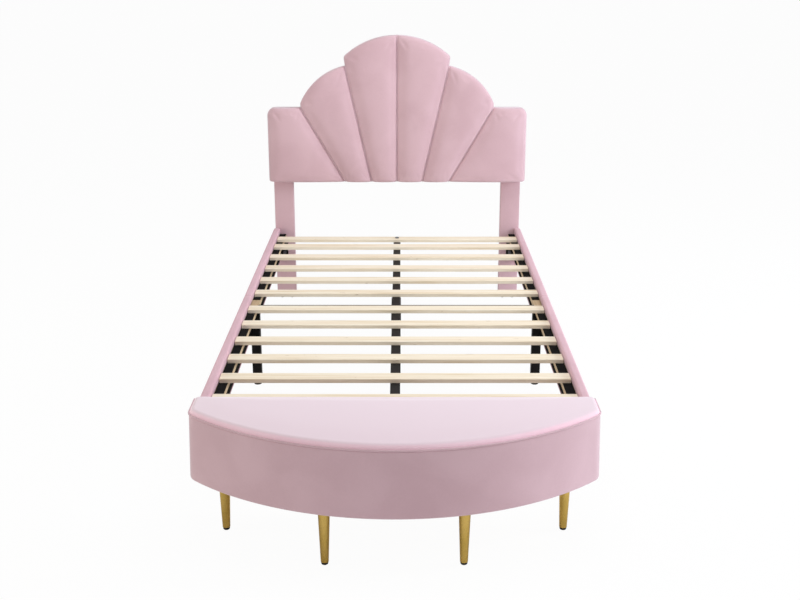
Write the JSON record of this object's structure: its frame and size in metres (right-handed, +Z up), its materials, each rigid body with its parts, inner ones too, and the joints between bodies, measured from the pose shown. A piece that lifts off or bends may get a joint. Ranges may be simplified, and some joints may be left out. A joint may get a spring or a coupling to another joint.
{
  "type": "single bed",
  "caption": "Upholstered single bed with a shell headboard of padded channels, wooden slats on a steel-braced frame, and a half-round padded foot bench on tapered metal legs.",
  "frame": {"origin": "on the floor, under the middle of the bed's outer box", "axes": "+Z up, +Y from the foot bench to the headboard, +X to the right of someone who stands at the foot and looks at the headboard"},
  "size_m": [1.07, 2.3439, 1.1179],
  "materials": {
    "velvet": "short pile velvet over foam",
    "velvet_cord": "velvet-covered cord",
    "lining_cloth": "black non-woven cloth",
    "hook_tape": "black hook tape",
    "pale_wood": "planed, unfinished",
    "plywood": "raw plywood",
    "gold_metal": "brushed gold plating",
    "black_plastic": "moulded",
    "bolt_steel": "dark zinc",
    "black_steel": "black powder coat"
  },
  "bodies": {
    "bed_frame": {"beam_end_bracket": "black_steel", "beam_foot": "black_steel", "beam_head": "black_steel", "beam_sleeve": "black_steel", "bench_back_board": "plywood", "bench_bottom_board": "plywood", "bench_front_ply": "plywood", "bench_leg_feet": "black_plastic", "bench_legs": "gold_metal", "bench_pad": "velvet", "bench_ribs": "plywood", "bench_side_cover": "velvet", "bench_top_board": "plywood", "bench_welt": "velvet_cord", "cross_bars": "black_steel", "frame_bolts": "bolt_steel", "headboard_back_cloth": "lining_cloth", "headboard_bolts": "bolt_steel", "headboard_channel_1": "velvet", "headboard_channel_2": "velvet", "headboard_channel_3": "velvet", "headboard_channel_4": "velvet", "headboard_channel_5": "velvet", "headboard_channel_6": "velvet", "headboard_core": "plywood", "headboard_piping": "velvet_cord", "leg_centre": "black_steel", "leg_left": "black_steel", "leg_right": "black_steel", "post_glides": "black_plastic", "post_left": "velvet", "post_right": "velvet", "rail_brackets": "black_steel", "rail_core_left_foot": "plywood", "rail_core_left_head": "plywood", "rail_core_right_foot": "plywood", "rail_core_right_head": "plywood", "rail_cover_left_foot": "velvet", "rail_cover_left_head": "velvet", "rail_cover_right_foot": "velvet", "rail_cover_right_head": "velvet", "rail_lining": "lining_cloth", "slat_01": "pale_wood", "slat_02": "pale_wood", "slat_03": "pale_wood", "slat_04": "pale_wood", "slat_05": "pale_wood", "slat_06": "pale_wood", "slat_07": "pale_wood", "slat_08": "pale_wood", "slat_09": "pale_wood", "slat_10": "pale_wood", "slat_11": "pale_wood", "slat_12": "pale_wood", "slat_battens": "pale_wood", "slat_tape": "hook_tape", "splice_plates": "black_steel"},
    "glide_centre_body": {"glide_centre": "black_plastic"},
    "glide_left_body": {"glide_left": "black_plastic"},
    "glide_right_body": {"glide_right": "black_plastic"}
  },
  "joints": [
    {"name": "glide_centre_screw", "type": "slide", "parent": "bed_frame", "child": "glide_centre_body", "axis": [0, 0, -1], "range_m": [0, 0.012]},
    {"name": "glide_left_screw", "type": "slide", "parent": "bed_frame", "child": "glide_left_body", "axis": [0, 0, -1], "range_m": [0, 0.012]},
    {"name": "glide_right_screw", "type": "slide", "parent": "bed_frame", "child": "glide_right_body", "axis": [0, 0, -1], "range_m": [0, 0.012]}
  ]
}
